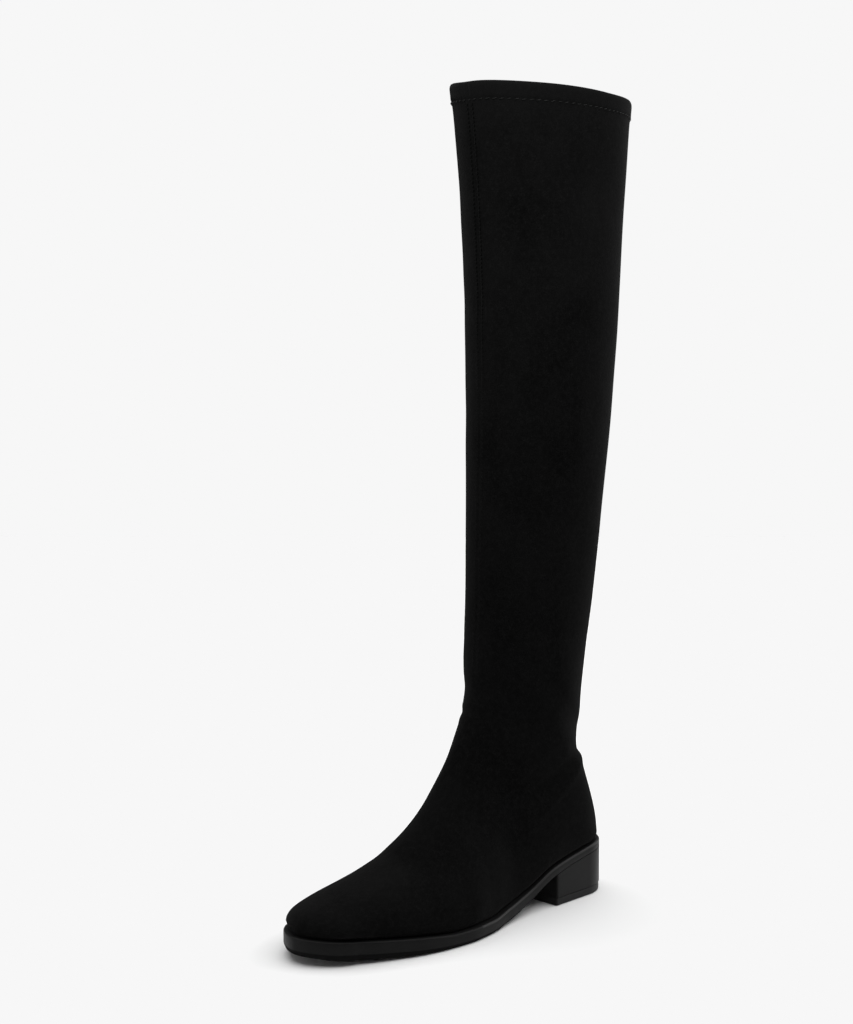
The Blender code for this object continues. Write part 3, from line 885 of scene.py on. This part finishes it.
sole = sole_plate([*rounded_rim(SOLE_LENGTH, 0.0, seat, SOLE_EDGE),
                   sole_face(SOLE_LENGTH, 0.0, lambda u: side_foot(u) + FLANK_EDGE),
                   flank(FLANK_TURN), flank(1.0)])
for panel in sole.faces:
    lengths = np.array([v.co.x / MM - HEEL_BACK for v in panel.verts])
    heights = np.array([v.co.z / MM for v in panel.verts])
    below_seat = max(seat(lengths) - heights)
    if MERGE < below_seat < SOLE_EDGE + MERGE and max(lengths) < BUFFED_LENGTH:
        panel.material_index = 1
    # the flank and the tread take the dull rubber with its painted shade
    elif max(side_foot(lengths) - heights) > MERGE:
        panel.material_index = 2
finish_piece("outsole_unit", sole, [sole_rubber, buffed_edge, tread_rubber_shaded], "outsole")

# Heel block
# A low straight heel moulded in plastic and lacquered black, nailed up through the seat. The corners of its
# breast are broken by a narrow round.
HEEL_LENGTH = 63.5
HEEL_EDGE = 0.25
BREAST_CORNER = 1.2
LIFT_THICKNESS = 5.0
HEEL_DARK = "#0f0f0f"
HEEL_LIGHT = "#181818"
LACQUER_DRIFT = 9.0
ORANGE_PEEL = 1.6
PEEL_RELIEF = 0.05

# Heel lacquer: sprayed black, satin, with a slight orange peel and a gloss that drifts over the block
heel_lacquer, tree, shader = start_material("Lacquered_heel_plastic")
place = add_node(tree, "ShaderNodeTexCoord", {})["Object"]
drift = add_node(tree, "ShaderNodeTexNoise", {"Vector": place, "Scale": per_mm(LACQUER_DRIFT),
                                              "Detail": 5.0, "Roughness": 0.6})["Fac"]
orange_peel = add_node(tree, "ShaderNodeTexNoise", {"Vector": place, "Scale": per_mm(ORANGE_PEEL),
                                                    "Detail": 2.0})["Fac"]
gloss_drift = add_node(tree, "ShaderNodeMapRange", {"Value": drift, "To Min": 0.3, "To Max": 0.55})["Result"]
peel_bump = add_node(tree, "ShaderNodeBump", {"Height": orange_peel, "Distance": PEEL_RELIEF * MM,
                                              "Strength": 0.4})["Normal"]
heel_colour = add_node(tree, "ShaderNodeMixRGB", {"Fac": drift, "Color1": linear(HEEL_DARK),
                                                  "Color2": linear(HEEL_LIGHT)})["Color"]
feed(tree, shader, {"Base Color": heel_colour, "Normal": peel_bump, "Roughness": gloss_drift, "IOR": 1.5,
                    "Specular IOR Level": 0.09})

block_top = rounded_rim(HEEL_LENGTH, 0.0, lambda u: underside(u) - SEAT_GAP, HEEL_EDGE, BREAST_CORNER)
block_foot = rounded_rim(HEEL_LENGTH, 0.0, lambda u: LIFT_THICKNESS + SEAT_GAP, HEEL_EDGE, BREAST_CORNER, 1)
block = sole_plate(block_top + block_foot[::-1])
finish_piece("heel_block_lacquered", block, [heel_lacquer], "heel_block")

# Top lift
# A slab of hard rubber pinned under the heel block, the face that the heel walks on. It is cut a touch
# smaller than the block, so that the joint shows as a line.
LIFT_INSET = 0.4
LIFT_EDGE = 0.4
LIFT_DARK = "#0f0f0f"
LIFT_LIGHT = "#181818"
SANDING = 0.7
SANDING_RELIEF = 0.08

# Lift rubber: hard and black, dulled by the sanding that brings its edge level
lift_rubber, tree, shader = start_material("Hard_lift_rubber")
place = add_node(tree, "ShaderNodeTexCoord", {})["Object"]
sanding = add_node(tree, "ShaderNodeTexNoise", {"Vector": place, "Scale": per_mm(SANDING), "Detail": 3.0,
                                                "Roughness": 0.7})["Fac"]
lift_colour = add_node(tree, "ShaderNodeMixRGB", {"Fac": sanding, "Color1": linear(LIFT_DARK),
                                                  "Color2": linear(LIFT_LIGHT)})["Color"]
sanded_bump = add_node(tree, "ShaderNodeBump", {"Height": sanding, "Distance": SANDING_RELIEF * MM,
                                                "Strength": 0.5})["Normal"]
feed(tree, shader, {"Base Color": lift_colour, "Normal": sanded_bump, "Roughness": 0.5,
                    "Specular IOR Level": 0.14})
lift_top = rounded_rim(HEEL_LENGTH, LIFT_INSET, lambda u: LIFT_THICKNESS, LIFT_EDGE, BREAST_CORNER)
lift_foot = rounded_rim(HEEL_LENGTH, LIFT_INSET, lambda u: 0.0, LIFT_EDGE, BREAST_CORNER, 1)
lift = sole_plate(lift_top + lift_foot[::-1])
finish_piece("top_lift_slab", lift, [lift_rubber], "top_lift")

# Studio floor
# A sheet painted matt white, lit so brightly that it burns out to the paper white of the background. It ends
# just in front of the boot, out of the picture, and leaves the space before the camera dark.
FLOOR_SIZE = 1.5
FLOOR_SETBACK = 1.27
FLOOR_GAP = 0.0004
FLOOR_WHITE = "#ededed"
ROLLER_MARK = 3.0
ROLLER_RELIEF = 0.02
VIEW_TURN = radians(44)
back = Vector((sin(VIEW_TURN), cos(VIEW_TURN), 0))
right = Vector((-cos(VIEW_TURN), sin(VIEW_TURN), 0))
paint, tree, shader = start_material("Matt_floor_paint")
place = add_node(tree, "ShaderNodeTexCoord", {})["Object"]
roller = add_node(tree, "ShaderNodeTexNoise", {"Vector": place, "Scale": per_mm(ROLLER_MARK),
                                               "Detail": 2.0})["Fac"]
roller_bump = add_node(tree, "ShaderNodeBump", {"Height": roller, "Distance": ROLLER_RELIEF * MM,
                                                "Strength": 0.1})["Normal"]
feed(tree, shader, {"Base Color": linear(FLOOR_WHITE), "Normal": roller_bump, "Roughness": 1.0,
                    "Specular IOR Level": 0.0})
sheet = bmesh.new()
bmesh.ops.create_grid(sheet, x_segments=1, y_segments=1, size=FLOOR_SIZE,
                      matrix=Matrix.Translation(Vector((0, 0, -FLOOR_GAP)) - back * FLOOR_SETBACK)
                      @ Matrix.Rotation(-VIEW_TURN, 4, "Z"))
floor_mesh = bpy.data.meshes.new("studio_floor")
sheet.to_mesh(floor_mesh)
sheet.free()
floor_mesh.materials.append(paint)
floor = bpy.data.objects.new("studio_floor", floor_mesh)
bpy.context.scene.collection.objects.link(floor)

# Camera
# It stands in front of the outer side, a little above the middle of the shaft, and looks slightly down.
CAMERA_DISTANCE = 1.1249
CAMERA_ASIDE = -0.0158
CAMERA_HEIGHT = 0.3496
LOOK_DOWN = radians(4.312)
AIM = Vector((0.01025, 0.0005, 0.0))
LENS = 62.0
SENSOR = 36.0
camera = bpy.data.objects.new("camera", bpy.data.cameras.new("camera"))
camera.data.lens = LENS
camera.data.sensor_width = SENSOR
forward = -back * cos(LOOK_DOWN) - Vector((0, 0, sin(LOOK_DOWN)))
camera.matrix_world = Matrix.Translation(
    AIM + back * CAMERA_DISTANCE + right * CAMERA_ASIDE + Vector((0, 0, CAMERA_HEIGHT))
) @ Matrix((right, right.cross(forward), -forward)).transposed().to_4x4()
bpy.context.scene.collection.objects.link(camera)
bpy.context.scene.camera = camera

# Light
# Soft light from large boxes: one above, one on each side that catches the nap along the outlines, and a low
# one at the left for the toe. A small key light brightens the collar, and the camera's side stays dark.
# Whatever is brighter than paper white burns out to it.
PAPER_WHITE = "#f7f7f7"
ROOM_WHITE = "#ffffff"
FILL = 0.14
Softbox = namedtuple("Softbox", "name aside depth height strength spread")
SOFTBOXES = [
    Softbox("above", 0.1, -0.1, 1.0, 3.3, 90),
    Softbox("right", 1.0, -0.35, 0.35, 1.05, 60),
    Softbox("left", -1.0, -0.3, 0.3, 0.55, 50),
    Softbox("low_left", -0.85, 0.5, 0.05, 0.6, 30),
]
KEY_PLACE = back * 0.75 + right * 0.12 + Vector((0, 0, 0.84))
KEY_TARGET = Vector((-0.07, 0, 0.54))
KEY_SIZE = 0.3
KEY_POWER = 0.95
KEY_SPREAD = radians(60)
for box in SOFTBOXES:
    lamp = bpy.data.lights.new(box.name, "SUN")
    lamp.energy = box.strength
    lamp.angle = radians(box.spread)
    light = bpy.data.objects.new(box.name, lamp)
    towards = right * box.aside + back * box.depth + Vector((0, 0, box.height))
    light.rotation_euler = towards.to_track_quat("Z", "Y").to_euler()
    bpy.context.scene.collection.objects.link(light)
key = bpy.data.lights.new("key", "AREA")
key.size = KEY_SIZE
key.energy = KEY_POWER
key.spread = KEY_SPREAD
key_light = bpy.data.objects.new("key", key)
key_light.location = KEY_PLACE
key_light.rotation_euler = (KEY_PLACE - KEY_TARGET).to_track_quat("Z", "Y").to_euler()
key_light.visible_camera = False
bpy.context.scene.collection.objects.link(key_light)
world = bpy.data.worlds.new("studio")
bpy.context.scene.world = world
world.use_nodes = True
tree = world.node_tree
seen = add_node(tree, "ShaderNodeLightPath", {})["Is Camera Ray"]
dim_room, backdrop = (add_node(tree, "ShaderNodeBackground", {"Color": linear(ROOM_WHITE),
                                                              "Strength": strength})["Background"]
                      for strength in (FILL, 1.0))
either = add_node(tree, "ShaderNodeMixShader", {0: seen, 1: dim_room, 2: backdrop})["Shader"]
feed(tree, tree.nodes["World Output"], {"Surface": either})
view = bpy.context.scene.view_settings
view.view_transform = "Standard"
view.use_curve_mapping = True
view.curve_mapping.extend = "HORIZONTAL"
view.curve_mapping.curves[3].points[1].location = (1.0, linear(PAPER_WHITE)[0])
view.curve_mapping.update()
